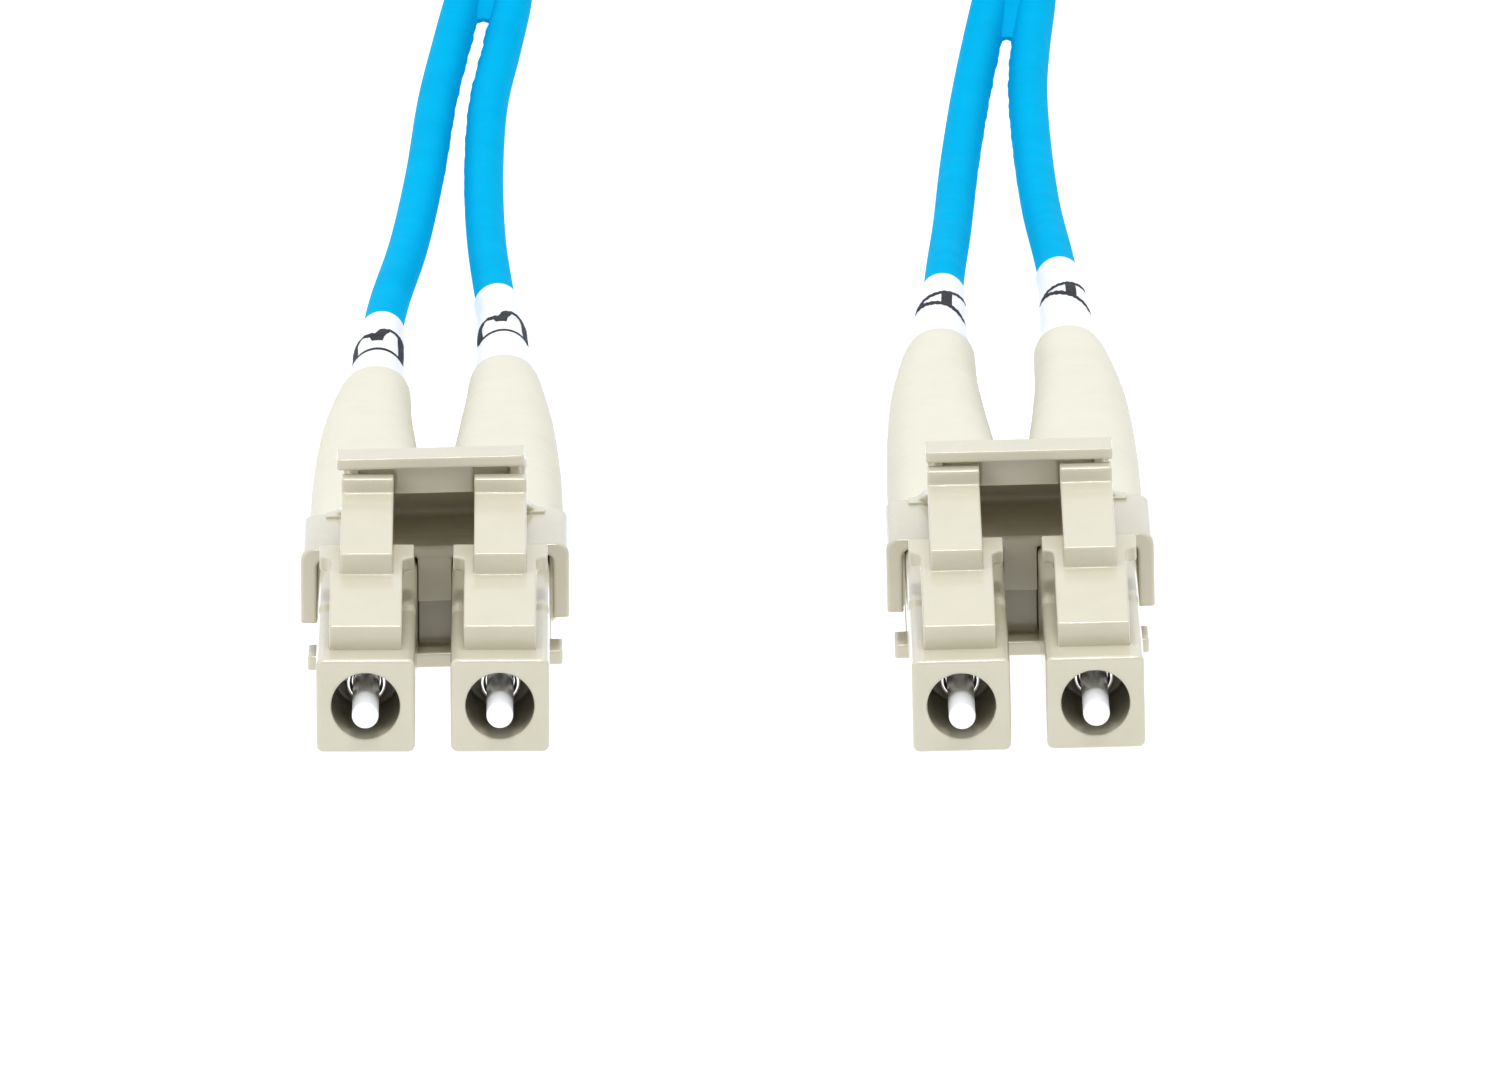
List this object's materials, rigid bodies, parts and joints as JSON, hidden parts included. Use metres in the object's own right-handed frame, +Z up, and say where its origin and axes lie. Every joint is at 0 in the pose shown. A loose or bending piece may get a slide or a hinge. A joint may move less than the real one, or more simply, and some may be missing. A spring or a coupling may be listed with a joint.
{
  "type": "fiber optic patch cord",
  "caption": "Duplex fibre optic patch cord: two twin latched LC-style connectors with clips, triggers and tapered boots on a flat twin blue cord wound in a tied coil.",
  "frame": {"origin": "bottom centre of the box around the two connectors and their boots; the table is at z = 0", "axes": "+X to the right across the connectors, +Y from the noses back along the cord, +Z up"},
  "size_m": [0.0535, 0.207, 0.0112],
  "materials": {
    "connector_plastic": "moulded beige PBT, light satin",
    "boot_plastic": "soft beige moulded thermoplastic elastomer",
    "zirconia": "white ground and polished zirconia ceramic",
    "nickel_plate": "nickel-plated brass, bright",
    "spring_steel": "stainless spring wire",
    "crimp_metal": "crimped copper alloy",
    "buffer": "0.9 mm tight buffer",
    "sleeve_white": null,
    "cord_jacket": "azure-blue low-smoke jacket, satin",
    "tie_plastic": "thin white plastic tie"
  },
  "bodies": {
    "cord_set": {"housing_a1": "connector_plastic", "housing_a2": "connector_plastic", "housing_b1": "connector_plastic", "housing_b2": "connector_plastic", "spring_a1": "spring_steel", "spring_a2": "spring_steel", "spring_b1": "spring_steel", "spring_b2": "spring_steel", "rear_body_a1": "nickel_plate", "rear_body_a2": "nickel_plate", "rear_body_b1": "nickel_plate", "rear_body_b2": "nickel_plate", "crimp_ring_a1": "crimp_metal", "crimp_ring_a2": "crimp_metal", "crimp_ring_b1": "crimp_metal", "crimp_ring_b2": "crimp_metal", "fibre_a1": "buffer", "fibre_a2": "buffer", "fibre_b1": "buffer", "fibre_b2": "buffer", "boot_a1": "boot_plastic", "boot_a2": "boot_plastic", "boot_b1": "boot_plastic", "boot_b2": "boot_plastic", "marking_sleeve_a1": "sleeve_white", "marking_sleeve_a2": "sleeve_white", "marking_sleeve_b1": "sleeve_white", "marking_sleeve_b2": "sleeve_white", "leg_a1": "cord_jacket", "leg_a2": "cord_jacket", "leg_b1": "cord_jacket", "leg_b2": "cord_jacket", "clip_a": "connector_plastic", "lead_a": "cord_jacket", "clip_b": "connector_plastic", "lead_b": "cord_jacket", "coil": "cord_jacket", "tie_near": "tie_plastic", "tie_far": "tie_plastic"},
    "trigger_a": {"trigger_a": "connector_plastic"},
    "trigger_b": {"trigger_b": "connector_plastic"},
    "latch_a1": {"latch_a1": "connector_plastic"},
    "latch_a2": {"latch_a2": "connector_plastic"},
    "latch_b1": {"latch_b1": "connector_plastic"},
    "latch_b2": {"latch_b2": "connector_plastic"},
    "ferrule_unit_a1": {"ferrule_a1": "zirconia", "ferrule_holder_a1": "nickel_plate"},
    "ferrule_unit_a2": {"ferrule_a2": "zirconia", "ferrule_holder_a2": "nickel_plate"},
    "ferrule_unit_b1": {"ferrule_b1": "zirconia", "ferrule_holder_b1": "nickel_plate"},
    "ferrule_unit_b2": {"ferrule_b2": "zirconia", "ferrule_holder_b2": "nickel_plate"}
  },
  "joints": [
    {"name": "trigger_a_press", "type": "hinge", "parent": "cord_set", "child": "trigger_a", "pos_m": [-0.01388, -0.00522, 0.0065], "axis": [1, 0, 0], "range_deg": [0, 10], "stiffness_Nm_per_rad": 0.05},
    {"name": "trigger_b_press", "type": "hinge", "parent": "cord_set", "child": "trigger_b", "pos_m": [0.01378, -0.00381, 0.00683], "axis": [0.9997, 0, 0.0227], "range_deg": [0, 10], "stiffness_Nm_per_rad": 0.05},
    {"name": "latch_a1_flex", "type": "hinge", "parent": "cord_set", "child": "latch_a1", "pos_m": [-0.017, -0.02321, 0.00575], "axis": [1, 0, 0], "range_deg": [-7, 0], "stiffness_Nm_per_rad": 0.02},
    {"name": "latch_a2_flex", "type": "hinge", "parent": "cord_set", "child": "latch_a2", "pos_m": [-0.01076, -0.02321, 0.00575], "axis": [1, 0, 0], "range_deg": [-7, 0], "stiffness_Nm_per_rad": 0.02},
    {"name": "latch_b1_flex", "type": "hinge", "parent": "cord_set", "child": "latch_b1", "pos_m": [0.01069, -0.02177, 0.00532], "axis": [0.9997, 0, 0.0227], "range_deg": [-7, 0], "stiffness_Nm_per_rad": 0.02},
    {"name": "latch_b2_flex", "type": "hinge", "parent": "cord_set", "child": "latch_b2", "pos_m": [0.01694, -0.02177, 0.00546], "axis": [0.9997, 0, 0.0227], "range_deg": [-7, 0], "stiffness_Nm_per_rad": 0.02},
    {"name": "ferrule_a1_slide", "type": "slide", "parent": "cord_set", "child": "ferrule_unit_a1", "axis": [0, 1, 0], "range_m": [0, 0.001], "stiffness_N_per_m": 1500, "deforming": ["spring_a1"]},
    {"name": "ferrule_a2_slide", "type": "slide", "parent": "cord_set", "child": "ferrule_unit_a2", "axis": [0, 1, 0], "range_m": [0, 0.001], "stiffness_N_per_m": 1500, "deforming": ["spring_a2"]},
    {"name": "ferrule_b1_slide", "type": "slide", "parent": "cord_set", "child": "ferrule_unit_b1", "axis": [-0.0009, 0.9993, 0.0384], "range_m": [0, 0.001], "stiffness_N_per_m": 1500, "deforming": ["spring_b1"]},
    {"name": "ferrule_b2_slide", "type": "slide", "parent": "cord_set", "child": "ferrule_unit_b2", "axis": [-0.0009, 0.9993, 0.0384], "range_m": [0, 0.001], "stiffness_N_per_m": 1500, "deforming": ["spring_b2"]}
  ],
  "couplings": [
    {"joint": "latch_a1_flex", "follows": "trigger_a_press", "ratio": -0.7},
    {"joint": "latch_a2_flex", "follows": "trigger_a_press", "ratio": -0.7},
    {"joint": "latch_b1_flex", "follows": "trigger_b_press", "ratio": -0.7},
    {"joint": "latch_b2_flex", "follows": "trigger_b_press", "ratio": -0.7}
  ]
}
